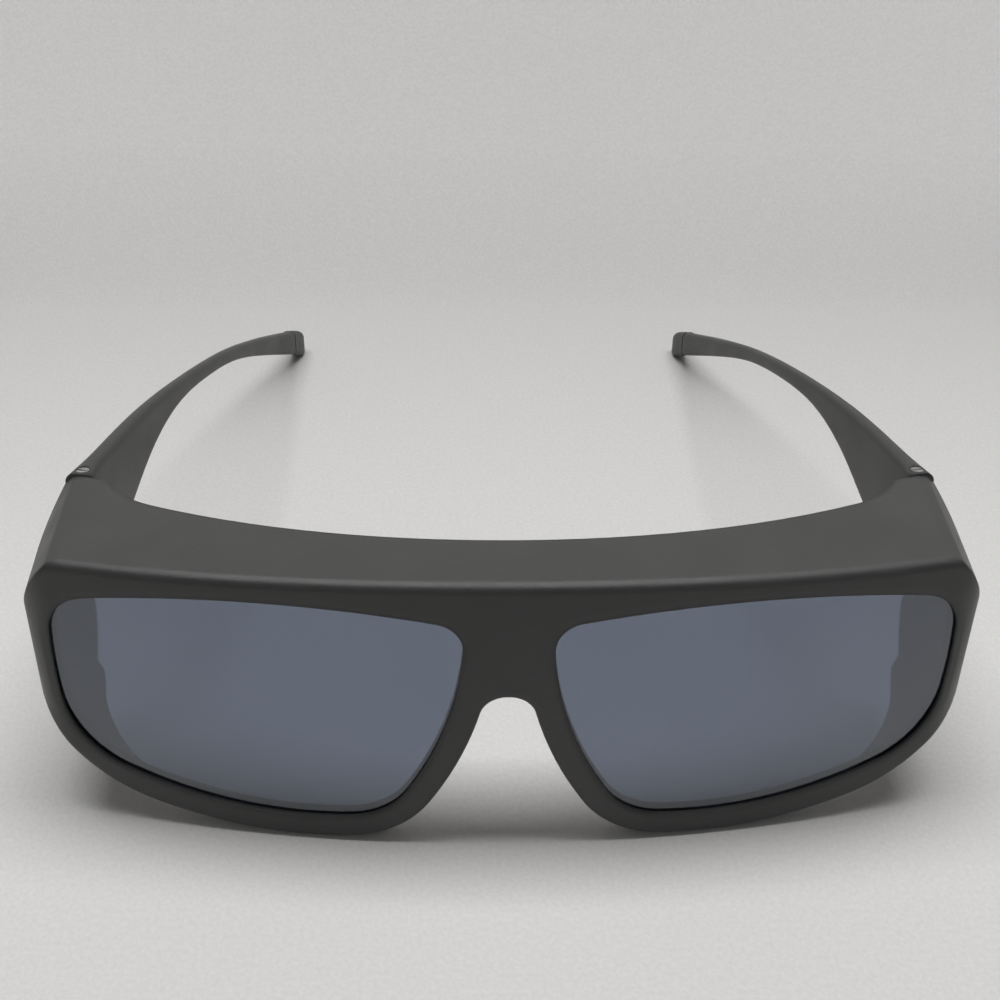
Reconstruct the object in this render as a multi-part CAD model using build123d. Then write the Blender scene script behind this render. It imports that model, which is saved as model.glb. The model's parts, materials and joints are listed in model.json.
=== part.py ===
from build123d import *
import math
import os

# Fitover sunglasses, first built as worn: x to the wearer's left, y back from the middle
# of the front, z up from the bottom of the rims. rest() then leans them back as they lie.

# Driving dimensions, in millimetres and degrees
HINGE_SPACING = 142.6
HINGE_DEPTH = 33.3
TOE_IN = 12.0
FRONT_HEIGHT = 50.5
FRONT_RADIUS = 330.0
CORNER_RADIUS = 8.0
TEMPLE_REACH = 125.5
TEMPLE_HEIGHT = 18.6
TEMPLE_THICKNESS = 3.4
TEMPLE_DROP = 22.2
TEMPLE_FLARE = 5.1
BRIDGE_WIDTH = 13.8
LENS_WIDTH = 66.1
LENS_HEIGHT = 41.6
RIM_WIDTH = 4.7

# Working values shared by the pieces
OVERRUN = 5.0
RUNNING_GAP = 0.05
SEAT_GAP = 0.03
SWING_GAP = 0.2
MIDDLE_SHARE = 0.5

# Frame
RIM_DEPTH = 3.6
SIDE_WALL = 2.2
BROW_WALL = 2.4
LEDGE_WALL = 2.2
SHIELD_CORNER_SHARE = 0.72
SHIELD_MIDDLE_DEPTH = 30.6
SHIELD_MIDDLE_HEIGHT = 22.0
SHIELD_FOOT_DEPTH = 24.5
SHIELD_FOOT_HEIGHT = 8.0
CAVITY_CORNER_RADIUS = 2.5
BROW_DEPTH = 13.4
BROW_BACK_RADIUS = 172.0
BROW_TURN = 58.0
BROW_END_WIDTH = 7.8
ROOF_FRONT = 30.0
ROOF_BACK = 38.0
ROOF_FRONT_DROP = 5.3
ROOF_HINGE_RISE = 3.58
BRIDGE_ARCH_HEIGHT = 29.6
BRIDGE_ARCH_RADIUS = 4.4
SHIELD_TOP = 29.5
CREASE_RADIUS = 1.3
SHOULDER_RADIUS = 20.0
SHOULDER_CORNER_RADIUS = 28.0
SHOULDER_FLARE = 19.0
SHOULDER_FLARE_DEPTH = 6.3
SHOULDER_LIFT = 5.1
SHOULDER_EDGE_INSET = 0.1
SHOULDER_EDGE_RADIUS = 9.0
SHOULDER_EDGE_LIFT = 0.05
RIM_EDGE_RADIUS = 1.0
RIM_STRETCH_SHARE = 1.018

# Corners of the lens opening, as shares of its width and height, with their radii,
# and the point that each side bows through
LENS_CORNER_SHARES = ((0.0, 0.915), (0.975, 0.93), (0.972, 0.265), (0.197, 0.015))
LENS_BOW_SHARES = ((0.533, 1.0), (0.99, 0.595), (0.457, 0.0), (0.046, 0.46))
LENS_CORNER_RADII = (5.0, 8.0, 16.0, 12.0)

# The same radii for the rim's outline, before it is grown by the rim's width
RIM_CORNER_RADII = (5.0, 8.0, 24.0, 12.0)

# Lens
LENS_THICKNESS = 1.8
LENS_INSET = 0.6
LENS_OVERLAP = 0.8

# Hinge
HINGE_OUTER = 2.5
BARREL_RADIUS = 1.8
LUG_HEIGHT = 3.8
TOP_LUG_HEIGHT = 4.0
BLOCK_LENGTH = 9.0
SCREW_RADIUS = 0.7
SCREW_HEAD_RADIUS = 1.05
SCREW_HEAD_HEIGHT = 0.9
SCREW_HEAD_DEPTH = 0.15
SCREW_SLOT_WIDTH = 0.4
SCREW_SLOT_DEPTH = 0.35
INSERT_RADIUS = 1.3
INSERT_LENGTH = 2.4

# Temple: stations along it from the hinge to the end, each as shares of its reach, and there
# of its drop, height, thickness and outward flare
TEMPLE_STATION_SHARES = (
    (0.0, 0.0, 1.0, 1.265, 0.0),
    (0.088, 0.0, 0.83, 1.0, 0.0),
    (0.183, 0.01, 0.527, 0.94, 0.12),
    (0.296, 0.05, 0.262, 0.85, 0.18),
    (0.442, 0.155, 0.168, 0.76, 0.29),
    (0.604, 0.338, 0.168, 0.76, 0.55),
    (0.69, 0.465, 0.203, 0.8, 0.69),
    (0.765, 0.586, 0.245, 0.85, 0.82),
    (0.85, 0.727, 0.295, 0.92, 0.9),
    (0.93, 0.86, 0.342, 1.0, 0.97),
    (1.0, 1.0, 0.387, 1.06, 1.0),
)
OUTER_ROUNDING_SHARE = 0.45
INNER_ROUNDING_SHARE = 0.3

# Soft cap on the temple's end: where it starts along the temple, and how its end closes
CAP_START_SHARE = 0.93
CAP_GROWTH = 0.1
CAP_END_SHARES = ((0.0, 1.0), (0.4, 1.0), (0.8, 0.84), (0.95, 0.55), (1.0, 0.3))
PEG_LENGTH = 5.5
PEG_SHARE = 0.6

# Small flats that the rims and the caps rest on
FOOT_FLAT = 0.15

SIDES = {"left": 1, "right": -1}


def turned(x, y):
    """Point given from the hinge axis, out from the side and back along it, in the worn axes."""
    toe = math.radians(TOE_IN)
    across = HINGE_SPACING / 2 + x * math.cos(toe) - y * math.sin(toe)
    back = HINGE_DEPTH + x * math.sin(toe) + y * math.cos(toe)
    return across, back


def half_span():
    """Half the front's width where the line of its sides crosses the line of its face."""
    return HINGE_SPACING / 2 + HINGE_OUTER + HINGE_DEPTH * math.tan(math.radians(TOE_IN))


def hinge_place():
    """Place of the left hinge: origin on its axis, y back along the side, x out from it."""
    return Location((HINGE_SPACING / 2, HINGE_DEPTH, 0), (0, 0, TOE_IN))


def mirrored(shape, side):
    """The shape itself for the left side, and its mirror image for the right."""
    return shape if SIDES[side] > 0 else mirror(shape, about=Plane.YZ)


def plan_face(front_depth, side_depth, corner_radius, flare=0):
    """Plan of the front: its curve and straight sides set in by a depth, out to just past the hinge."""
    radius = FRONT_RADIUS - front_depth
    toe = math.radians(TOE_IN - flare)
    start_x, start_y = turned(HINGE_OUTER - side_depth, 0)
    along = (math.sin(toe), -math.cos(toe))
    gap_y = start_y - FRONT_RADIUS
    half_b = start_x * along[0] + gap_y * along[1]
    run = -half_b + math.sqrt(half_b**2 - (start_x**2 + gap_y**2 - radius**2))
    corner = (start_x + run * along[0], start_y + run * along[1])
    end = (start_x - OVERRUN * along[0], start_y - OVERRUN * along[1])
    front = ThreePointArc((-corner[0], corner[1]), (0, front_depth), corner)
    sides = Polyline(corner, end, (-end[0], end[1]), (-corner[0], corner[1]))
    face = make_face(front + sides)
    return fillet(face.vertices().sort_by(Axis.Y)[:2], corner_radius)


def roof(drop):
    """Everything under the brow's top lowered by drop, which sags at the front and rises at the hinges."""
    faces = []
    half = half_span() + SHOULDER_RADIUS
    middle = FRONT_HEIGHT - drop
    for depth in (-ROOF_FRONT, ROOF_BACK):
        edge_height = roof_height(half, depth) - drop
        left = (-half, edge_height)
        right = (half, edge_height)
        top = ThreePointArc(left, (0, middle), right)
        rest_of_it = Polyline(right, (half, -OVERRUN), (-half, -OVERRUN), left)
        faces.append(Plane.XZ.offset(-depth) * make_face(top + rest_of_it))
    return loft(faces, ruled=True)


def lens_point(shares, stretch_share):
    """Point of the left lens opening, from its shares of the width and height, stretched sideways."""
    across = BRIDGE_WIDTH / 2 + shares[0] * LENS_WIDTH * stretch_share
    return across, RIM_WIDTH + shares[1] * LENS_HEIGHT


def drawn_again(face):
    """The face with its outline drawn again as arcs, each through the ends and the middle of an edge."""
    outline = Curve()
    for edge in face.edges():
        outline += ThreePointArc(edge @ 0, edge @ MIDDLE_SHARE, edge @ 1)
    return make_face(outline)


def lens_face(growth, stretch_share=1, radii=LENS_CORNER_RADII):
    """Front view of the left lens opening, stretched sideways and grown outwards."""
    corners = [lens_point(shares, stretch_share) for shares in LENS_CORNER_SHARES]
    outline = Curve()
    for index, bow_shares in enumerate(LENS_BOW_SHARES):
        following = corners[(index + 1) % len(corners)]
        outline += ThreePointArc(corners[index], lens_point(bow_shares, stretch_share), following)
    face = make_face(outline)
    for corner, radius in zip(corners, radii):
        face = fillet(face.vertices().sort_by_distance(Vector(*corner))[0], radius)
    return drawn_again(offset(face, growth)) if growth else face


def both(face):
    """A front-view face with its mirror image."""
    return face + mirror(face, about=Plane.YZ)


def pushed_back(face):
    """A front-view face run from in front of the frame to behind it."""
    depth = HINGE_DEPTH + 2 * OVERRUN
    return extrude(Plane.XZ.offset(OVERRUN) * face, -depth)


def rim_face():
    """Front view of the whole front: the rims round both lenses, the bridge, and all above the shields."""
    rims = both(lens_face(RIM_WIDTH, RIM_STRETCH_SHARE, RIM_CORNER_RADII))
    top = FRONT_HEIGHT + OVERRUN
    bridge = Pos(0, (BRIDGE_ARCH_HEIGHT + top) / 2) * Rectangle(BRIDGE_WIDTH, top - BRIDGE_ARCH_HEIGHT)
    brow = Pos(0, (SHIELD_TOP + top) / 2) * Rectangle(2 * half_span(), top - SHIELD_TOP)
    face = rims + bridge + brow
    lower = face.vertices().filter_by(lambda v: v.Y < SHIELD_TOP + RIM_WIDTH)
    arch_corners = lower.filter_by(lambda v: abs(v.X) < BRIDGE_WIDTH / 2)
    return fillet(arch_corners.sort_by(Axis.Y)[-2:], BRIDGE_ARCH_RADIUS)


def standing(face):
    """A plan face run from below the frame to above it."""
    return extrude(Pos(0, 0, -OVERRUN) * face, 2 * FRONT_HEIGHT)


def roof_height(across, back):
    """Height of the brow's top over a place in plan."""
    share = (back + ROOF_FRONT) / (ROOF_BACK + ROOF_FRONT)
    rise = (1 - share) * -ROOF_FRONT_DROP + share * ROOF_HINGE_RISE
    return FRONT_HEIGHT + rise * (across / half_span())**2


def rounded_top(body, radius):
    """Body with the edges of its top rounded, apart from the back one."""
    edges = body.faces().sort_by(Axis.Z)[-1].edges()
    return fillet(edges.filter_by(lambda e: e.center().Y < HINGE_DEPTH), radius)


def leaning_sides(inset, lift, radius):
    """Body with sides that close in to the front, set in, and curve to a top lifted above the brow's."""
    plan = plan_face(-SHOULDER_RADIUS, inset - SHOULDER_FLARE_DEPTH, SHOULDER_CORNER_RADIUS, SHOULDER_FLARE)
    return rounded_top(standing(plan) & roof(-lift), radius)


def full_outside():
    """The frame's outside down to the ground, with its front's and its shoulders' top edges rounded."""
    body = rounded_top(standing(plan_face(0, 0, CORNER_RADIUS)) & roof(0), CREASE_RADIUS)
    body &= leaning_sides(0, SHOULDER_LIFT, SHOULDER_RADIUS)
    return body & leaning_sides(SHOULDER_EDGE_INSET, SHOULDER_EDGE_LIFT, SHOULDER_EDGE_RADIUS)


def outer_body(outside):
    """The outside cut to the rims' and shields' lower outline, with its edge rounded."""
    body = outside & pushed_back(rim_face())
    curved = body.edges().filter_by(GeomType.LINE, reverse=True)
    low = curved.filter_by(lambda e: e.center().Z < SHIELD_TOP)
    return fillet(low.filter_by(lambda e: e.center().Y < HINGE_DEPTH), RIM_EDGE_RADIUS)


def behind_rims():
    """The space behind the rims and inside the shields, whose front corners stay as a deep ledge."""
    inner = plan_face(RIM_DEPTH, SIDE_WALL, SHIELD_CORNER_SHARE * HINGE_DEPTH)
    tight = plan_face(RIM_DEPTH, SIDE_WALL, CAVITY_CORNER_RADIUS)
    inside_ledge = both(lens_face(RIM_WIDTH - LEDGE_WALL))
    space = standing(inner) + (standing(tight) & pushed_back(inside_ledge))
    inner_sides = leaning_sides(SIDE_WALL, SHOULDER_LIFT - SIDE_WALL, SHOULDER_RADIUS - SIDE_WALL)
    return space & roof(BROW_WALL) & inner_sides


def behind_brow():
    """The space behind the brow's curved back edge and its square ends in front of the hinges."""
    back = -BARREL_RADIUS - SWING_GAP
    turn = math.asin(BROW_TURN / BROW_BACK_RADIUS)
    start = (BROW_TURN, BROW_DEPTH + BROW_BACK_RADIUS * (1 - math.cos(turn)))
    corner = turned(HINGE_OUTER - BROW_END_WIDTH, back)
    end = turned(OVERRUN, back)
    far = turned(OVERRUN, OVERRUN)
    edge = ThreePointArc((-start[0], start[1]), (0, BROW_DEPTH), start)
    edge += TangentArc(start, corner, tangent=(math.cos(turn), math.sin(turn)))
    edge += mirror(TangentArc(start, corner, tangent=(math.cos(turn), math.sin(turn))), about=Plane.YZ)
    sides = Polyline(corner, end, far, (-far[0], far[1]), (-end[0], end[1]), (-corner[0], corner[1]))
    return standing(make_face(edge + sides))


def behind_shields():
    """The space behind the side shields' curved back edges, below the hinges, from side to side."""
    bottom = hinge_levels()[0]
    start = turned(HINGE_OUTER, -BARREL_RADIUS - SWING_GAP)[1]
    foot = (SHIELD_FOOT_DEPTH, SHIELD_FOOT_HEIGHT)
    edge = ThreePointArc(foot, (SHIELD_MIDDLE_DEPTH, SHIELD_MIDDLE_HEIGHT), (start, bottom))
    far = HINGE_DEPTH + 2 * OVERRUN
    below = (SHIELD_FOOT_DEPTH, -OVERRUN)
    rest_of_it = Polyline((start, bottom), (far, bottom), (far, -OVERRUN), below, foot)
    return extrude(Plane.YZ * make_face(edge + rest_of_it), half_span(), both=True)


def lens_slab(inset, thickness):
    """Curved slab following the front, inset behind it, that the lens is cut from."""
    outer = FRONT_RADIUS - inset
    inner = outer - thickness
    ring = Circle(outer) - Circle(inner)
    return standing(Pos(0, FRONT_RADIUS) * ring & Rectangle(2 * half_span(), 2 * HINGE_DEPTH))


def lens(side):
    """One lens: a curved plate whose edge sits in the rim's groove."""
    plate = lens_slab(LENS_INSET, LENS_THICKNESS) & pushed_back(lens_face(LENS_OVERLAP))
    return mirrored(plate, side)


def lens_spaces():
    """Lens openings through the front, and the grooves round them."""
    through = lens_slab(-OVERRUN, OVERRUN + RIM_DEPTH + SWING_GAP)
    openings = through & pushed_back(both(lens_face(0)))
    groove = lens_slab(LENS_INSET - SEAT_GAP, LENS_THICKNESS + 2 * SEAT_GAP)
    return openings + (groove & pushed_back(both(lens_face(LENS_OVERLAP + SEAT_GAP))))


def hinge_levels():
    """Heights of the hinge's bottom, of the knuckle space's lower and upper ends, and of its top."""
    top = roof_height(HINGE_SPACING / 2, HINGE_DEPTH)
    bottom = top - TEMPLE_HEIGHT
    return bottom, bottom + LUG_HEIGHT, top - TOP_LUG_HEIGHT, top


def column(radius, bottom, top):
    """Upright round column on the hinge axis, in the hinge's axes."""
    return Pos(0, 0, (bottom + top) / 2) * Cylinder(radius, top - bottom)


def block(x_span, y_span, z_span):
    """Box in the hinge's axes, from its two limits each way."""
    spans = (x_span, y_span, z_span)
    size = [high - low for low, high in spans]
    middle = [(low + high) / 2 for low, high in spans]
    return Pos(*middle) * Box(*size)


def hinge_block(outside):
    """Thick end of the left side in front of the hinge, with the knuckle between the temple's lugs."""
    bottom, low, high, top = hinge_levels()
    back = -BARREL_RADIUS - SWING_GAP
    wall = HINGE_OUTER - SIDE_WALL
    outline = Polyline(
        (HINGE_OUTER, back),
        (-BARREL_RADIUS, back),
        (-BARREL_RADIUS, back - BLOCK_LENGTH / 2),
        (wall, back - BLOCK_LENGTH),
        (HINGE_OUTER, back - BLOCK_LENGTH),
        close=True,
    )
    thick_end = extrude(Pos(0, 0, bottom) * make_face(outline), FRONT_HEIGHT)
    thick_end = hinge_place() * thick_end & outside
    levels = (low + SWING_GAP, high - SWING_GAP)
    knuckle = column(BARREL_RADIUS, *levels)
    knuckle += block((-BARREL_RADIUS, BARREL_RADIUS), (back - SIDE_WALL, 0), levels)
    return thick_end + hinge_place() * knuckle


def screw_bore():
    """Bore through the left hinge for the screw, with running room."""
    bottom, low, high, top = hinge_levels()
    return hinge_place() * column(SCREW_RADIUS + RUNNING_GAP, bottom - OVERRUN, top + OVERRUN)


def hinge_screw(side):
    """Slotted screw that is the hinge's pin, from its head in the top lug down into the insert."""
    bottom, low, high, top = hinge_levels()
    head_top = top - SCREW_HEAD_DEPTH
    head_bottom = head_top - SCREW_HEAD_HEIGHT
    screw = column(SCREW_RADIUS, bottom + SEAT_GAP, head_bottom)
    screw += column(SCREW_HEAD_RADIUS, head_bottom, head_top)
    half_slot = SCREW_SLOT_WIDTH / 2
    across = (-SCREW_HEAD_RADIUS - OVERRUN, SCREW_HEAD_RADIUS + OVERRUN)
    screw -= block(across, (-half_slot, half_slot), (head_top - SCREW_SLOT_DEPTH, head_top + OVERRUN))
    return mirrored(hinge_place() * screw, side)


def hinge_insert(side):
    """Brass sleeve in the bottom lug that the screw's end is held in."""
    bottom = hinge_levels()[0]
    sleeve = column(INSERT_RADIUS, bottom, bottom + INSERT_LENGTH)
    sleeve -= column(SCREW_RADIUS + SEAT_GAP, bottom - OVERRUN, bottom + OVERRUN)
    return mirrored(hinge_place() * sleeve, side)


def temple_shares(along):
    """Drop, height, thickness and flare of the temple at a share of its reach."""
    rows = TEMPLE_STATION_SHARES
    for first, last in zip(rows, rows[1:]):
        if along <= last[0]:
            part = (along - first[0]) / (last[0] - first[0])
            return [start + part * (end - start) for start, end in zip(first[1:], last[1:])]
    return rows[-1][1:]


def temple_section(along, size_share=1, growth=0):
    """Upright rounded section of the left temple, in the hinge's axes, scaled and grown about its middle."""
    drop, height, thickness, flare = temple_shares(along)
    full_height = TEMPLE_HEIGHT * height
    full_thickness = TEMPLE_THICKNESS * thickness
    across = HINGE_OUTER - full_thickness / 2 + TEMPLE_FLARE * flare
    level = hinge_levels()[3] - TEMPLE_DROP * drop - full_height / 2
    wide = full_thickness * size_share + 2 * growth
    high = full_height * size_share + 2 * growth
    face = Rectangle(wide, high)
    smaller = min(wide, high)
    face = fillet(face.vertices().sort_by(Axis.X)[:2], OUTER_ROUNDING_SHARE * smaller)
    face = fillet(face.vertices().sort_by(Axis.X)[-2:], INNER_ROUNDING_SHARE * smaller)
    place = Plane(origin=(across, TEMPLE_REACH * along, level), x_dir=(-1, 0, 0), z_dir=(0, 1, 0))
    return place * face


def peg(growth):
    """Peg on the end of the left temple's moulding, or with growth the socket for it in the cap."""
    end_share = CAP_START_SHARE + (PEG_LENGTH + growth) / TEMPLE_REACH
    sections = [temple_section(along, PEG_SHARE, growth) for along in (CAP_START_SHARE, end_share)]
    return loft(sections, ruled=True)


def temple(side):
    """Moulded temple with two lugs round the frame's knuckle, and a peg for the cap."""
    bottom, low, high, top = hinge_levels()
    stations = [row[0] for row in TEMPLE_STATION_SHARES if row[0] < CAP_START_SHARE]
    body = loft([temple_section(along) for along in stations + [CAP_START_SHARE]])
    body += extrude(temple_section(0), -BARREL_RADIUS)
    body += peg(0)
    reach = BARREL_RADIUS + SWING_GAP
    inner_corner = block((-reach, 0), (-reach, 0), (bottom - OVERRUN, top + OVERRUN))
    body -= inner_corner - column(BARREL_RADIUS, bottom - OVERRUN, top + OVERRUN)
    body -= column(reach, low, high)
    body -= block((-reach - OVERRUN, 0), (-reach, reach), (low, high))
    body -= block((0, reach), (-reach, 0), (low, high))
    body -= column(SCREW_RADIUS + RUNNING_GAP, bottom - OVERRUN, top + OVERRUN)
    seat = top - SCREW_HEAD_DEPTH - SCREW_HEAD_HEIGHT
    body -= column(SCREW_HEAD_RADIUS + RUNNING_GAP, seat, top + OVERRUN)
    body -= column(INSERT_RADIUS + SEAT_GAP, bottom - OVERRUN, bottom + INSERT_LENGTH)
    return mirrored(hinge_place() * body, side)


def temple_tip(side):
    """Soft cap over the temple's peg, with a rounded end."""
    length = 1 - CAP_START_SHARE
    sections = []
    for along, size_share in CAP_END_SHARES:
        place_share = CAP_START_SHARE + length * along
        sections.append(temple_section(place_share, size_share, CAP_GROWTH * size_share))
    cap = loft(sections) - peg(SEAT_GAP)
    return mirrored(hinge_place() * cap, side)


def frame_front():
    """The moulded front: rims, bridge, brow, side shields and the thick ends with the knuckles."""
    outside = full_outside()
    body = outer_body(outside) - behind_rims() - behind_brow() - behind_shields()
    hinge = hinge_block(outside)
    bore = screw_bore()
    for side in SIDES:
        body += mirrored(hinge, side)
        body -= mirrored(bore, side)
    return body - lens_spaces()


def tipped(shape, lean):
    """Shape turned about the side-to-side axis, with its back end down."""
    return Rotation(-lean, 0, 0) * shape


def resting_lean(front, tip):
    """Angle that brings the lowest points of the front and of the temple's cap to one level."""
    lean = 0
    for _ in range(4):
        front_box = tipped(front, lean).bounding_box()
        tip_box = tipped(tip, lean).bounding_box()
        span = tip_box.max.Y - front_box.min.Y
        lean += math.degrees(math.atan2(tip_box.min.Z - front_box.min.Z, span))
    return lean


def rest(pieces):
    """All pieces as they stand on rims and caps: centred in plan, lowest points made flat at height zero."""
    lean = resting_lean(pieces["frame_front"], pieces["temple_tip_left"])
    leaning = {name: tipped(piece, lean) for name, piece in pieces.items()}
    boxes = [piece.bounding_box() for piece in leaning.values()]
    front = min(box.min.Y for box in boxes)
    back = max(box.max.Y for box in boxes)
    down = min(box.min.Z for box in boxes) + FOOT_FLAT
    place = Pos(0, -(front + back) / 2, -down)
    ground = Pos(0, 0, -OVERRUN / 2) * Box(2 * half_span(), 2 * TEMPLE_REACH, OVERRUN)
    standing_pieces = {}
    for name, piece in leaning.items():
        piece = place * piece
        if name == "frame_front" or name.startswith("temple_tip"):
            piece -= ground
        standing_pieces[name] = piece
    return standing_pieces


def make_pieces():
    """Every piece by name, standing on the surface."""
    pieces = {"frame_front": frame_front()}
    for side in SIDES:
        for make in (lens, temple, temple_tip, hinge_screw, hinge_insert):
            pieces["%s_%s" % (make.__name__, side)] = make(side)
    return rest(pieces)


if __name__ == "__main__":
    os.makedirs("parts", exist_ok=True)
    for name, piece in make_pieces().items():
        export_step(piece, "parts/%s.step" % name)
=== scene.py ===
"""Fitover sunglasses standing open on a pale cloth: finishes, stage, light and camera."""
import json
import math

import bpy
import numpy as np
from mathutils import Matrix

bl_info = {
    "name": "Fitover Sunglasses",
    "version": (1, 0, 0),
    "blender": (4, 5, 0),
    "location": "3D View > Sidebar > Sunglasses",
    "description": "Finishes, stage, light and camera for a pair of fitover sunglasses",
    "category": "Object",
}

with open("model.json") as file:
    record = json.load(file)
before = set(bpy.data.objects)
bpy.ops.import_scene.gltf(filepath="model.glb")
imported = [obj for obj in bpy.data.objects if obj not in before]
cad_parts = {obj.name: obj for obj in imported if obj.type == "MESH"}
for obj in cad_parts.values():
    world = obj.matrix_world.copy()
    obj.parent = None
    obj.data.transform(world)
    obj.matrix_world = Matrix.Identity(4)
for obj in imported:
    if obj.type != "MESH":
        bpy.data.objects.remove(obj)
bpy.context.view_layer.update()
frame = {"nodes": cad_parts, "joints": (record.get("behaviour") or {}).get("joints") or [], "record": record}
NODES = frame["nodes"]
SIDES = ("left", "right")
HINGE = {joint["name"]: joint for joint in frame["joints"]}["left_temple_fold"]
HINGE_LEAN = math.atan2(HINGE["axis"][1], HINGE["axis"][2])
RECORD_COLOURS = {entry["slot"]: entry["base_color"] for entry in frame["record"]["materials"]}


def colour_of(slot):
    """The record's colour for a slot, without its opacity."""
    return tuple(RECORD_COLOURS[slot][:3])


# Settings


class PlasticSettings(bpy.types.PropertyGroup):
    """Sizes and colours of the moulded plastic of the front and the temples."""

    colour: bpy.props.FloatVectorProperty(
        name="Plastic", description="Colour of the moulded plastic", subtype="COLOR",
        size=3, min=0, max=1, default=(0.036, 0.0362, 0.0355))
    rubbed_colour: bpy.props.FloatVectorProperty(
        name="Rubbed plastic", description="Paler colour where handling has rubbed the surface",
        subtype="COLOR", size=3, min=0, max=1, default=(0.052, 0.052, 0.051))
    grain: bpy.props.FloatProperty(
        name="Grain", description="Width of one grain of the moulded texture",
        unit="LENGTH", subtype="DISTANCE", min=0.00005, default=0.00032)
    soft_edge: bpy.props.FloatProperty(
        name="Soft edge", description="Radius to which the moulding's edges look rounded",
        unit="LENGTH", subtype="DISTANCE", min=0.0, default=0.0016)
    roughness: bpy.props.FloatProperty(
        name="Roughness", description="Roughness of the moulded surface", subtype="FACTOR",
        min=0, max=1, default=0.43)


class LensSettings(bpy.types.PropertyGroup):
    """Tint and polish of the lenses."""

    tint: bpy.props.FloatVectorProperty(
        name="Tint", description="Colour that the lens lets through", subtype="COLOR",
        size=3, min=0, max=1, default=(0.1, 0.125, 0.185))
    smear_colour: bpy.props.FloatVectorProperty(
        name="Smeared tint", description="Tint where the lens has a faint smear", subtype="COLOR",
        size=3, min=0, max=1, default=(0.12, 0.145, 0.205))
    gleam: bpy.props.FloatVectorProperty(
        name="Gleam", description="Colour of the lens coating's reflections", subtype="COLOR",
        size=3, min=0, max=1, default=(0.78, 0.86, 1.0))
    polish: bpy.props.FloatProperty(
        name="Roughness", description="Roughness of the polished lens", subtype="FACTOR",
        min=0, max=1, default=0.04)


class TipSettings(bpy.types.PropertyGroup):
    """Colour and grain of the soft caps on the temples."""

    colour: bpy.props.FloatVectorProperty(
        name="Cap", description="Colour of the soft caps", subtype="COLOR",
        size=3, min=0, max=1, default=colour_of("tip"))
    dusty_colour: bpy.props.FloatVectorProperty(
        name="Dusty cap", description="Colour of the caps where dust clings", subtype="COLOR",
        size=3, min=0, max=1, default=(0.032, 0.034, 0.034))
    grain: bpy.props.FloatProperty(
        name="Grain", description="Width of one grain of the soft surface",
        unit="LENGTH", subtype="DISTANCE", min=0.00005, default=0.0002)


class MetalSettings(bpy.types.PropertyGroup):
    """Colours of the hinge's metal pieces."""

    screw_colour: bpy.props.FloatVectorProperty(
        name="Screw", description="Colour of the steel screws", subtype="COLOR",
        size=3, min=0, max=1, default=colour_of("screw"))
    screw_shade: bpy.props.FloatVectorProperty(
        name="Screw rings", description="Colour in the turning marks of the screws",
        subtype="COLOR", size=3, min=0, max=1, default=(0.42, 0.42, 0.41))
    insert_colour: bpy.props.FloatVectorProperty(
        name="Insert", description="Colour of the brass inserts", subtype="COLOR",
        size=3, min=0, max=1, default=colour_of("insert"))
    insert_shade: bpy.props.FloatVectorProperty(
        name="Insert rings", description="Colour in the turning marks of the inserts",
        subtype="COLOR", size=3, min=0, max=1, default=(0.5, 0.37, 0.18))
    ring_pitch: bpy.props.FloatProperty(
        name="Turning marks", description="Distance from one turning mark to the next",
        unit="LENGTH", subtype="DISTANCE", min=0.00002, default=0.00012)


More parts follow.
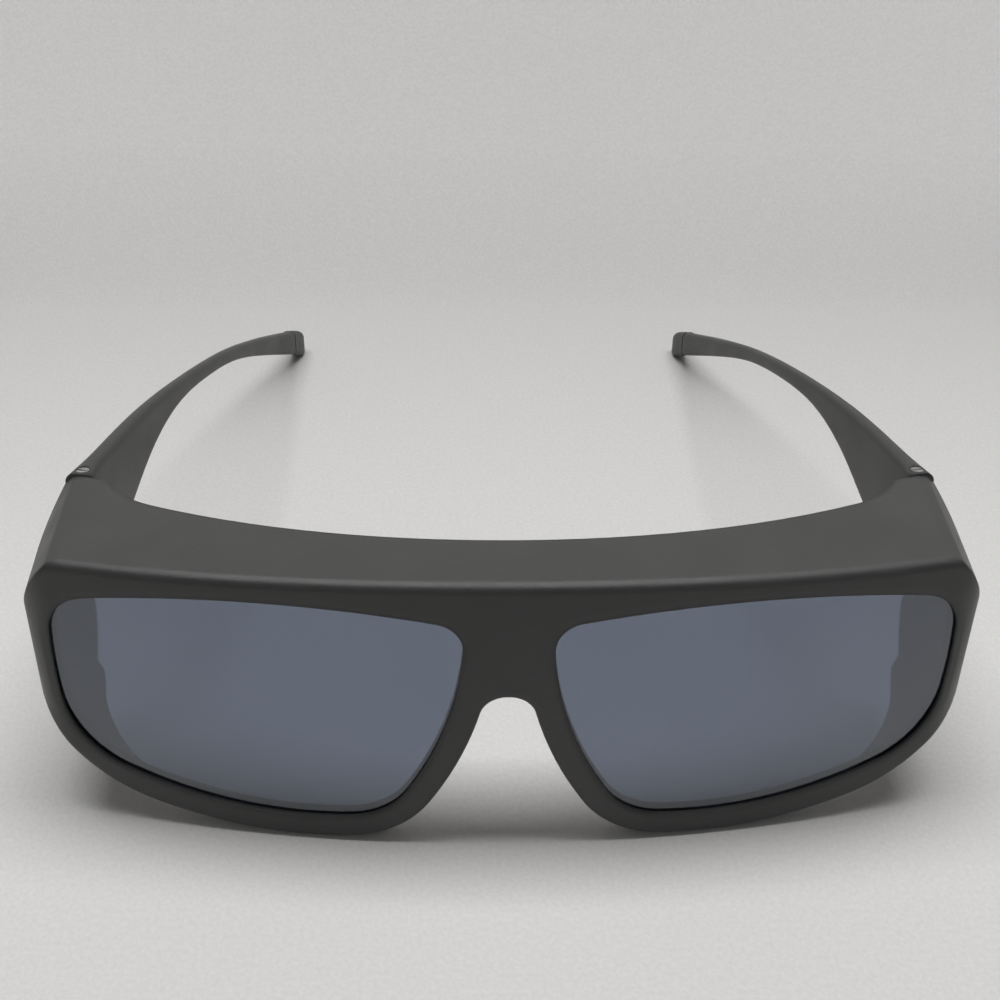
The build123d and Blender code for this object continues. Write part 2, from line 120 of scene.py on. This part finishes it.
class StageSettings(bpy.types.PropertyGroup):
    """Sizes and colours of the cloth that the glasses stand on, and of the light and camera."""

    width: bpy.props.FloatProperty(
        name="Width", description="Width of the cloth", unit="LENGTH", subtype="DISTANCE",
        min=0.3, default=2.4)
    front: bpy.props.FloatProperty(
        name="Front", description="How far the cloth comes forward", unit="LENGTH",
        subtype="DISTANCE", min=0.2, default=1.2)
    wall_place: bpy.props.FloatProperty(
        name="Wall", description="How far back the cloth turns up", unit="LENGTH",
        subtype="DISTANCE", min=0.1, default=0.135)
    wall_height: bpy.props.FloatProperty(
        name="Wall height", description="Height of the cloth behind the glasses", unit="LENGTH",
        subtype="DISTANCE", min=0.1, default=0.5)
    bend_radius: bpy.props.FloatProperty(
        name="Bend radius", description="Radius of the cloth's bend at the foot of the wall",
        unit="LENGTH", subtype="DISTANCE", min=0.005, default=0.035)
    cloth_colour: bpy.props.FloatVectorProperty(
        name="Cloth", description="Colour of the cloth", subtype="COLOR",
        size=3, min=0, max=1, default=(0.7, 0.695, 0.685))
    # Painted shade: the darker colour laid into the hollows of the cloth's dimples.
    cloth_painted_shade: bpy.props.FloatVectorProperty(
        name="Cloth shade", description="Colour in the hollows of the cloth", subtype="COLOR",
        size=3, min=0, max=1, default=(0.66, 0.65, 0.64))
    wall_glow: bpy.props.FloatProperty(
        name="Wall glow",
        description="How much paler the cloth's wall looks than its light makes it",
        min=0, max=1, default=0.41)
    lamp_height: bpy.props.FloatProperty(
        name="Lamp height", description="Height of the overhead lamp", unit="LENGTH",
        subtype="DISTANCE", min=0.2, default=0.8)
    lamp_place: bpy.props.FloatProperty(
        name="Lamp place", description="How far back the overhead lamp hangs", unit="LENGTH",
        subtype="DISTANCE", default=0.12)
    lamp_width: bpy.props.FloatProperty(
        name="Lamp width", description="Width of the overhead lamp", unit="LENGTH",
        subtype="DISTANCE", min=0.05, default=0.8)
    lamp_depth: bpy.props.FloatProperty(
        name="Lamp depth", description="Depth of the overhead lamp from front to back",
        unit="LENGTH", subtype="DISTANCE", min=0.05, default=0.26)
    lamp_power: bpy.props.FloatProperty(
        name="Lamp power", description="Power of the overhead lamp, in watts", min=0, default=6.8)
    room_light: bpy.props.FloatProperty(
        name="Room light", description="Strength of the even light from all round",
        min=0, default=0.16)
    camera_place: bpy.props.FloatVectorProperty(
        name="Camera place", description="Where the camera stands", subtype="TRANSLATION",
        unit="LENGTH", size=3, default=(-0.0069446, -0.2031528, 0.1701202))
    camera_turn: bpy.props.FloatVectorProperty(
        name="Camera turn", description="Angles that the camera is turned by", subtype="EULER",
        size=3, default=(math.radians(51.80889), math.radians(-1.00868), math.radians(-1.4131)))
    camera_lens: bpy.props.FloatProperty(
        name="Camera lens", description="Focal length of the camera, in millimetres",
        min=10, default=43.2)


# Meshes


def grid_mesh(name, points):
    """Mesh of points in rows by columns by three, whose neighbours are joined by quads."""
    rows, columns = points.shape[:2]
    corner = np.arange(rows * columns).reshape(rows, columns)
    quads = np.stack((corner[:-1, :-1], corner[:-1, 1:], corner[1:, 1:], corner[1:, :-1]), axis=-1)
    quads = quads.reshape(-1, 4)
    mesh = bpy.data.meshes.new(name)
    mesh.vertices.add(rows * columns)
    mesh.vertices.foreach_set("co", points.reshape(-1).astype(np.float32))
    mesh.loops.add(quads.size)
    mesh.loops.foreach_set("vertex_index", quads.reshape(-1).astype(np.int32))
    mesh.polygons.add(len(quads))
    mesh.polygons.foreach_set("loop_start", np.arange(0, quads.size, 4, dtype=np.int32))
    mesh.update(calc_edges=True)
    mesh.validate()
    mesh.shade_smooth()
    return mesh


FLAT_ROWS = 40
BEND_ROWS = 25
WALL_ROWS = 20
CLOTH_COLUMNS = 41


def cloth_points(settings):
    """The cloth: a straight profile that turns up in a quarter circle, carried across the width.

    Along the profile, y and z are (t, 0) as far as the bend, then the bend's centre plus its radius
    times (sin a, -cos a) for a from 0 to a quarter turn, then straight up."""
    radius = settings.bend_radius
    bend_start = settings.wall_place - radius
    flat = np.linspace(-settings.front, bend_start, FLAT_ROWS)
    angle = np.linspace(0, np.pi / 2, BEND_ROWS)[1:]
    wall = np.linspace(radius, settings.wall_height, WALL_ROWS)[1:]
    y = np.concatenate(
        (flat, bend_start + radius * np.sin(angle), np.full(wall.shape, settings.wall_place)))
    z = np.concatenate((np.zeros(flat.shape), radius - radius * np.cos(angle), wall))
    x = np.linspace(-settings.width / 2, settings.width / 2, CLOTH_COLUMNS)
    points = np.empty((len(y), len(x), 3))
    points[..., 0] = x[None, :]
    points[..., 1] = y[:, None]
    points[..., 2] = z[:, None]
    return points


# Materials


def fill(node, **values):
    """Sets a node's inputs by name, with underscores for spaces."""
    for key, value in values.items():
        node.inputs[key.replace("_", " ")].default_value = value
    return node


def new_group(name, inputs, outputs):
    """Shader node group with inputs (name to default, or None for a vector) and number outputs."""
    tree = bpy.data.node_groups.new(name, "ShaderNodeTree")
    for socket_name, default in inputs.items():
        kind = "NodeSocketVector" if default is None else "NodeSocketFloat"
        socket = tree.interface.new_socket(name=socket_name, in_out="INPUT", socket_type=kind)
        if default is not None:
            socket.default_value = default
    for socket_name in outputs:
        tree.interface.new_socket(name=socket_name, in_out="OUTPUT", socket_type="NodeSocketFloat")
    return tree, tree.nodes.new("NodeGroupInput"), tree.nodes.new("NodeGroupOutput")


def arithmetic(tree, operation, first, second):
    """Math node whose inputs are sockets or numbers. Gives its output."""
    node = tree.nodes.new("ShaderNodeMath")
    node.operation = operation
    for socket, value in zip(node.inputs, (first, second)):
        if isinstance(value, (int, float)):
            socket.default_value = value
        else:
            tree.links.new(value, socket)
    return node.outputs[0]


def noise(tree, vector, scale, detail=2.0, roughness=0.5):
    """Noise texture over a vector, at so many waves a metre. Gives its factor."""
    node = tree.nodes.new("ShaderNodeTexNoise")
    fill(node, Detail=detail, Roughness=roughness)
    tree.links.new(vector, node.inputs["Vector"])
    if isinstance(scale, (int, float)):
        node.inputs["Scale"].default_value = scale
    else:
        tree.links.new(scale, node.inputs["Scale"])
    return node.outputs[0]


def spread(tree, value, low, high, start=0.0, end=1.0):
    """Map Range from low..high to start..end, held at its ends. Gives its result."""
    node = tree.nodes.new("ShaderNodeMapRange")
    fill(node, From_Min=low, From_Max=high, To_Min=start, To_Max=end)
    tree.links.new(value, node.inputs["Value"])
    return node.outputs["Result"]


def part_added(tree, value, share, other):
    """A share of one value added to another value. Gives the sum."""
    return arithmetic(tree, "ADD", arithmetic(tree, "MULTIPLY", value, share), other)


def cells_texture(tree, vector, scale):
    """Voronoi texture over a vector, with so many cells a metre. Gives the node."""
    node = tree.nodes.new("ShaderNodeTexVoronoi")
    node.feature = "F1"
    tree.links.new(vector, node.inputs["Vector"])
    tree.links.new(scale, node.inputs["Scale"])
    return node


def moulded_grain_group():
    """Fine spark-eroded texture: small rounded cells over finer noise, at a given grain width.

    Its mottling is broad noise, of which the middle range goes from 0 to 1."""
    fine_waves = 1.7
    mottle_waves = 0.035
    mottle_range = (0.35, 0.65)
    tree, start, end = new_group(
        "Moulded grain", {"Vector": None, "Grain": 0.0003}, ("Height", "Mottle"))
    scale = arithmetic(tree, "DIVIDE", 1.0, start.outputs["Grain"])
    cells = cells_texture(tree, start.outputs["Vector"], scale)
    fine_scale = arithmetic(tree, "MULTIPLY", scale, fine_waves)
    fine = noise(tree, start.outputs["Vector"], fine_scale, detail=1.0, roughness=0.6)
    height = arithmetic(tree, "ADD", cells.outputs["Distance"], fine)
    tree.links.new(height, end.inputs["Height"])
    broad_scale = arithmetic(tree, "MULTIPLY", scale, mottle_waves)
    broad = noise(tree, start.outputs["Vector"], broad_scale, roughness=0.55)
    tree.links.new(spread(tree, broad, *mottle_range), end.inputs["Mottle"])
    return tree


def handling_group():
    """Marks of handling: stretched thin scuffs and sparse dust, each as a mask from 0 to 1.

    Scuffs show where both their own noise and a broad noise are high. A speck of dust is the middle
    of a cell, in those few cells whose random colour is red enough."""
    scuff_stretch = (1.0, 6.0, 4.0)
    scuff_turn = (0.3, 0.2, 0.5)
    scuff_range = (0.58, 0.72)
    patch_scale = 38.0
    patch_range = (0.45, 0.65)
    speck_range = (0.1, 0.2)
    chosen_range = (0.86, 0.9)
    tree, start, end = new_group(
        "Handling marks", {"Vector": None, "Scuff Scale": 260.0, "Dust Scale": 900.0},
        ("Scuffs", "Dust"))
    stretch = fill(
        tree.nodes.new("ShaderNodeMapping"), Scale=scuff_stretch, Rotation=scuff_turn)
    tree.links.new(start.outputs["Vector"], stretch.inputs["Vector"])
    scratch = noise(
        tree, stretch.outputs["Vector"], start.outputs["Scuff Scale"], detail=3.0, roughness=0.6)
    patch = noise(tree, start.outputs["Vector"], patch_scale)
    scuffs = arithmetic(
        tree, "MULTIPLY", spread(tree, scratch, *scuff_range), spread(tree, patch, *patch_range))
    tree.links.new(scuffs, end.inputs["Scuffs"])
    specks = cells_texture(tree, start.outputs["Vector"], start.outputs["Dust Scale"])
    near = spread(tree, specks.outputs["Distance"], *speck_range, start=1.0, end=0.0)
    chosen = tree.nodes.new("ShaderNodeSeparateColor")
    tree.links.new(specks.outputs["Color"], chosen.inputs["Color"])
    dust = arithmetic(
        tree, "MULTIPLY", near, spread(tree, chosen.outputs["Red"], *chosen_range))
    tree.links.new(dust, end.inputs["Dust"])
    return tree


def turning_group():
    """Rings left by turning, round the left hinge's axis and, mirrored, round the right one."""
    wobble_scale = 2500.0
    tree, start, end = new_group(
        "Turning marks", {"Vector": None, "Pitch": 0.0001}, ("Rings", "Height"))
    split = tree.nodes.new("ShaderNodeSeparateXYZ")
    tree.links.new(start.outputs["Vector"], split.inputs["Vector"])
    join = tree.nodes.new("ShaderNodeCombineXYZ")
    tree.links.new(arithmetic(tree, "ABSOLUTE", split.outputs["X"], 0.0), join.inputs["X"])
    tree.links.new(split.outputs["Y"], join.inputs["Y"])
    tree.links.new(split.outputs["Z"], join.inputs["Z"])
    moved = tree.nodes.new("ShaderNodeVectorMath")
    moved.operation = "SUBTRACT"
    tree.links.new(join.outputs["Vector"], moved.inputs[0])
    moved.inputs[1].default_value = HINGE["pos_m"]
    upright = tree.nodes.new("ShaderNodeVectorRotate")
    upright.rotation_type = "X_AXIS"
    upright.inputs["Angle"].default_value = HINGE_LEAN
    tree.links.new(moved.outputs["Vector"], upright.inputs["Vector"])
    flat = tree.nodes.new("ShaderNodeSeparateXYZ")
    tree.links.new(upright.outputs["Vector"], flat.inputs["Vector"])
    squares = arithmetic(
        tree, "ADD",
        arithmetic(tree, "MULTIPLY", flat.outputs["X"], flat.outputs["X"]),
        arithmetic(tree, "MULTIPLY", flat.outputs["Y"], flat.outputs["Y"]))
    radius = arithmetic(tree, "SQRT", squares, 0.0)
    along = arithmetic(tree, "ADD", radius, flat.outputs["Z"])
    phase = arithmetic(tree, "DIVIDE", along, start.outputs["Pitch"])
    wobble = noise(tree, start.outputs["Vector"], wobble_scale)
    turns = arithmetic(tree, "ADD", phase, wobble)
    wave = arithmetic(tree, "SINE", arithmetic(tree, "MULTIPLY", turns, math.tau), 0.0)
    tree.links.new(spread(tree, wave, -1.0, 1.0), end.inputs["Rings"])
    tree.links.new(wave, end.inputs["Height"])
    return tree


def cloth_group():
    """Pressed fibre cloth: small uneven dimples, as noise whose waves are one dimple long, and painted shade
    that darkens their hollows.
    """
    shade_range = (0.3, 0.7)
    tree, start, end = new_group(
        "Pressed cloth", {"Vector": None, "Dimple": 0.0008}, ("Height", "Shade"))
    scale = arithmetic(tree, "DIVIDE", 1.0, start.outputs["Dimple"])
    height = noise(tree, start.outputs["Vector"], scale, detail=1.0, roughness=0.6)
    tree.links.new(height, end.inputs["Height"])
    # The Shade output is painted shade: it is low in the dimples' hollows, where the cloth's colour darkens.
    tree.links.new(spread(tree, height, *shade_range), end.inputs["Shade"])
    return tree


def group_node(material, name, **values):
    """A node group placed in a material, fed with the object's own coordinates."""
    node = material.node_tree.nodes.new("ShaderNodeGroup")
    node.node_tree = bpy.data.node_groups[name]
    coordinates = material.node_tree.nodes.new("ShaderNodeTexCoord")
    material.node_tree.links.new(coordinates.outputs["Object"], node.inputs["Vector"])
    return fill(node, **values)


def new_material(name):
    """Material with a Principled shader. Gives the material, its tree and the shader."""
    material = bpy.data.materials.new(name)
    material.use_nodes = True
    shader = material.node_tree.nodes["Principled BSDF"]
    return material, material.node_tree, shader


FULL_WEAR = 1.4


def worn_range(tree, wear, start=0.0, end=1.0):
    """Goes from start to end as the sum of the wear masks goes from none to full wear."""
    return spread(tree, wear, 0.0, FULL_WEAR, start, end)


def mix_colours(tree, factor, first, second):
    """Colour that goes from first to second with a factor that changes over the surface."""
    node = tree.nodes.new("ShaderNodeMix")
    node.data_type = "RGBA"
    tree.links.new(factor, node.inputs["Factor"])
    node.inputs["A"].default_value = (*first, 1.0)
    node.inputs["B"].default_value = (*second, 1.0)
    return node.outputs["Result"]


EDGE_SAMPLES = 4


def bumped(tree, shader, height, distance, strength, edge_radius=0.0):
    """Bump node from a height into the shader's normal.

    With an edge radius, the edges under the bumps look rounded to it."""
    node = tree.nodes.new("ShaderNodeBump")
    if edge_radius:
        soft = tree.nodes.new("ShaderNodeBevel")
        soft.samples = EDGE_SAMPLES
        fill(soft, Radius=edge_radius)
        tree.links.new(soft.outputs["Normal"], node.inputs["Normal"])
    fill(node, Strength=strength, Distance=distance)
    tree.links.new(height, node.inputs["Height"])
    tree.links.new(node.outputs["Normal"], shader.inputs["Normal"])


def plastic_material(settings):
    """Matt moulded plastic with a fine grain, slight mottling, thin scuffs and a little dust."""
    mottle_share = 0.35
    smoother, rougher = 0.04, 0.05
    grain_depth = settings.grain * 0.12
    material, tree, shader = new_material("Moulded plastic")
    grain = group_node(material, "Moulded grain", Grain=settings.grain)
    marks = group_node(material, "Handling marks")
    rubbed = part_added(tree, grain.outputs["Mottle"], mottle_share, marks.outputs["Scuffs"])
    rubbed = arithmetic(tree, "ADD", rubbed, marks.outputs["Dust"])
    colour = mix_colours(tree, worn_range(tree, rubbed), settings.colour, settings.rubbed_colour)
    tree.links.new(colour, shader.inputs["Base Color"])
    rough = spread(
        tree, grain.outputs["Mottle"], 0.0, 1.0,
        settings.roughness - smoother, settings.roughness + rougher)
    tree.links.new(rough, shader.inputs["Roughness"])
    bumped(
        tree, shader, grain.outputs["Height"], grain_depth, strength=0.5,
        edge_radius=settings.soft_edge)
    return material


def lens_material(settings):
    """Polished smoke tint with faint smears and specks."""
    mottle_share = 0.4
    rougher = 0.06
    material, tree, shader = new_material("Smoke lens")
    fill(shader, Transmission_Weight=1.0, IOR=1.65, Metallic=0.0)
    fill(shader, Specular_IOR_Level=1.0, Specular_Tint=(*settings.gleam, 1.0))
    fill(shader, Coat_Weight=1.0, Coat_IOR=1.5, Coat_Roughness=0.05)
    marks = group_node(material, "Handling marks", Scuff_Scale=90.0, Dust_Scale=520.0)
    grain = group_node(material, "Moulded grain", Grain=0.0009)
    smeared = part_added(tree, grain.outputs["Mottle"], mottle_share, marks.outputs["Scuffs"])
    colour = mix_colours(tree, worn_range(tree, smeared), settings.tint, settings.smear_colour)
    tree.links.new(colour, shader.inputs["Base Color"])
    worn = arithmetic(tree, "ADD", smeared, marks.outputs["Dust"])
    rough = worn_range(tree, worn, settings.polish, settings.polish + rougher)
    tree.links.new(rough, shader.inputs["Roughness"])
    return material


def tip_material(settings):
    """Soft satin cap with a very fine grain and dust that clings to it."""
    mottle_share = 0.5
    full_dust = 1.2
    clean_roughness, dusty_roughness = 0.55, 0.7
    grain_depth = settings.grain * 0.15
    material, tree, shader = new_material("Soft cap")
    grain = group_node(material, "Moulded grain", Grain=settings.grain)
    marks = group_node(material, "Handling marks", Dust_Scale=1300.0)
    dusty = part_added(tree, grain.outputs["Mottle"], mottle_share, marks.outputs["Dust"])
    colour = mix_colours(tree, worn_range(tree, dusty), settings.colour, settings.dusty_colour)
    tree.links.new(colour, shader.inputs["Base Color"])
    rough = spread(tree, dusty, 0.0, full_dust, clean_roughness, dusty_roughness)
    tree.links.new(rough, shader.inputs["Roughness"])
    fill(shader, Sheen_Weight=0.15, Sheen_Roughness=0.5)
    bumped(tree, shader, grain.outputs["Height"], grain_depth, strength=0.6)
    return material


def metal_material(name, colour, shade, pitch, roughness):
    """Turned metal with fine rings round the hinge's axis."""
    ring_share = 0.6
    rougher = 0.15
    ring_depth = pitch * 0.1
    material, tree, shader = new_material(name)
    fill(shader, Metallic=1.0)
    turning = group_node(material, "Turning marks", Pitch=pitch)
    marks = group_node(material, "Handling marks", Dust_Scale=4000.0, Scuff_Scale=1500.0)
    dull = part_added(tree, turning.outputs["Rings"], ring_share, marks.outputs["Scuffs"])
    tree.links.new(
        mix_colours(tree, worn_range(tree, dull), colour, shade), shader.inputs["Base Color"])
    tree.links.new(
        worn_range(tree, dull, roughness, roughness + rougher), shader.inputs["Roughness"])
    bumped(tree, shader, turning.outputs["Height"], ring_depth, strength=0.5)
    return material


def seen(tree):
    """Mask that is 1 for rays that show a surface: of the camera, of gloss and through glass."""
    path = tree.nodes.new("ShaderNodeLightPath")
    shown = arithmetic(
        tree, "MAXIMUM", path.outputs["Is Camera Ray"], path.outputs["Is Glossy Ray"])
    return arithmetic(tree, "MAXIMUM", shown, path.outputs["Is Transmission Ray"])


def clear_from_behind(tree, shader):
    """Lets a surface be seen only from its front."""
    geometry = tree.nodes.new("ShaderNodeNewGeometry")
    clear = tree.nodes.new("ShaderNodeBsdfTransparent")
    mix = tree.nodes.new("ShaderNodeMixShader")
    tree.links.new(geometry.outputs["Backfacing"], mix.inputs["Fac"])
    tree.links.new(shader.outputs["BSDF"], mix.inputs[1])
    tree.links.new(clear.outputs["BSDF"], mix.inputs[2])
    tree.links.new(mix.outputs["Shader"], tree.nodes["Material Output"].inputs["Surface"])


def cloth_material(settings):
    """Pale pressed cloth with shallow dimples and painted shade in their hollows, whose wall looks paler and
    is clear from behind.
    """
    dimple_depth = 0.0002
    material, tree, shader = new_material("Pale cloth")
    cloth = group_node(material, "Pressed cloth")
    # Painted shade: the colour goes to the darker shade colour in the dimples' hollows.
    colour = mix_colours(tree, cloth.outputs["Shade"], settings.cloth_painted_shade, settings.cloth_colour)
    tree.links.new(colour, shader.inputs["Base Color"])
    fill(shader, Roughness=0.9, Specular_IOR_Level=0.15)
    bumped(tree, shader, cloth.outputs["Height"], dimple_depth, strength=0.35)
    coordinates = tree.nodes.new("ShaderNodeTexCoord")
    split = tree.nodes.new("ShaderNodeSeparateXYZ")
    tree.links.new(coordinates.outputs["Object"], split.inputs["Vector"])
    raised = spread(tree, split.outputs["Z"], 0.0, settings.bend_radius, 0.0, settings.wall_glow)
    tree.links.new(colour, shader.inputs["Emission Color"])
    glow = arithmetic(tree, "MULTIPLY", raised, seen(tree))
    tree.links.new(glow, shader.inputs["Emission Strength"])
    clear_from_behind(tree, shader)
    return material


def both(piece):
    """Names of a piece's left and right CAD nodes."""
    return ["%s_%s" % (piece, side) for side in SIDES]


def finish_nodes(names, material):
    """Gives CAD nodes one material in place of what they were packed with."""
    for name in names:
        materials = NODES[name].data.materials
        materials.clear()
        materials.append(material)


# Operators


class MakeEffects(bpy.types.Operator):
    """Build the node groups that the finishes share"""

    bl_idname = "sunglasses.effects"
    bl_label = "Shared Effects"

    def execute(self, context):
        for build in (moulded_grain_group, handling_group, turning_group, cloth_group):
            build()
        return {"FINISHED"}


class FinishPlastic(bpy.types.Operator):
    """Finish the front and both temples in matt moulded plastic"""

    bl_idname = "sunglasses.plastic"
    bl_label = "Front and Temples"

    def execute(self, context):
        material = plastic_material(context.scene.sunglasses_plastic)
        finish_nodes(["frame_front", *both("temple")], material)
        return {"FINISHED"}


class FinishLenses(bpy.types.Operator):
    """Finish both lenses in polished smoke tint"""

    bl_idname = "sunglasses.lenses"
    bl_label = "Lenses"

    def execute(self, context):
        finish_nodes(both("lens"), lens_material(context.scene.sunglasses_lens))
        return {"FINISHED"}


class FinishTips(bpy.types.Operator):
    """Finish the soft caps on the temples' ends"""

    bl_idname = "sunglasses.tips"
    bl_label = "Temple Caps"

    def execute(self, context):
        finish_nodes(both("temple_tip"), tip_material(context.scene.sunglasses_tip))
        return {"FINISHED"}


class FinishMetal(bpy.types.Operator):
    """Finish the hinge screws in turned steel and their inserts in turned brass"""

    bl_idname = "sunglasses.metal"
    bl_label = "Screws and Inserts"

    def execute(self, context):
        settings = context.scene.sunglasses_metal
        steel = metal_material(
            "Turned steel", settings.screw_colour, settings.screw_shade, settings.ring_pitch,
            roughness=0.28)
        brass = metal_material(
            "Turned brass", settings.insert_colour, settings.insert_shade, settings.ring_pitch,
            roughness=0.32)
        finish_nodes(both("hinge_screw"), steel)
        finish_nodes(both("hinge_insert"), brass)
        return {"FINISHED"}


class MakeStage(bpy.types.Operator):
    """Lay the pale cloth, light it softly and set up the camera"""

    bl_idname = "sunglasses.stage"
    bl_label = "Stage, Light and Camera"

    def execute(self, context):
        settings = context.scene.sunglasses_stage
        scene = context.scene
        cloth = bpy.data.objects.new("cloth", grid_mesh("cloth", cloth_points(settings)))
        cloth.data.materials.append(cloth_material(settings))
        scene.collection.objects.link(cloth)
        lamp = bpy.data.lights.new("Overhead lamp", "AREA")
        lamp.shape = "RECTANGLE"
        lamp.size = settings.lamp_width
        lamp.size_y = settings.lamp_depth
        lamp.energy = settings.lamp_power
        lamp_object = bpy.data.objects.new("Overhead lamp", lamp)
        lamp_object.location = (0.0, settings.lamp_place, settings.lamp_height)
        scene.collection.objects.link(lamp_object)
        world = bpy.data.worlds.new("Soft room")
        scene.world = world
        world.use_nodes = True
        fill(
            world.node_tree.nodes["Background"],
            Color=(1.0, 1.0, 1.0, 1.0), Strength=settings.room_light)
        camera = bpy.data.cameras.new("Camera")
        camera.lens = settings.camera_lens
        camera.clip_start = 0.01
        camera_object = bpy.data.objects.new("Camera", camera)
        camera_object.location = settings.camera_place
        camera_object.rotation_euler = settings.camera_turn
        scene.collection.objects.link(camera_object)
        scene.camera = camera_object
        scene.view_settings.view_transform = "Standard"
        return {"FINISHED"}


class SunglassesPanel(bpy.types.Panel):
    """Buttons and settings for the sunglasses"""

    bl_idname = "VIEW3D_PT_sunglasses"
    bl_label = "Fitover Sunglasses"
    bl_space_type = "VIEW_3D"
    bl_region_type = "UI"
    bl_category = "Sunglasses"

    def draw(self, context):
        for operator in OPERATORS:
            self.layout.operator(operator.bl_idname)
        for name, settings_class in SETTINGS.items():
            box = self.layout.box()
            settings = getattr(context.scene, name)
            for key in settings_class.__annotations__:
                box.prop(settings, key)


SETTINGS = {
    "sunglasses_plastic": PlasticSettings,
    "sunglasses_lens": LensSettings,
    "sunglasses_tip": TipSettings,
    "sunglasses_metal": MetalSettings,
    "sunglasses_stage": StageSettings,
}
OPERATORS = (MakeEffects, FinishPlastic, FinishLenses, FinishTips, FinishMetal, MakeStage)


def register():
    """Registers the settings, the operators and the panel."""
    for name, settings_class in SETTINGS.items():
        bpy.utils.register_class(settings_class)
        setattr(bpy.types.Scene, name, bpy.props.PointerProperty(type=settings_class))
    for operator in OPERATORS:
        bpy.utils.register_class(operator)
    bpy.utils.register_class(SunglassesPanel)


def unregister():
    """Takes back all that register() added."""
    bpy.utils.unregister_class(SunglassesPanel)
    for operator in reversed(OPERATORS):
        bpy.utils.unregister_class(operator)
    for name, settings_class in SETTINGS.items():
        delattr(bpy.types.Scene, name)
        bpy.utils.unregister_class(settings_class)


def main():
    """Makes everything in order."""
    register()
    bpy.ops.sunglasses.effects()
    bpy.ops.sunglasses.plastic()
    bpy.ops.sunglasses.lenses()
    bpy.ops.sunglasses.tips()
    bpy.ops.sunglasses.metal()
    bpy.ops.sunglasses.stage()


if __name__ == "__main__":
    main()
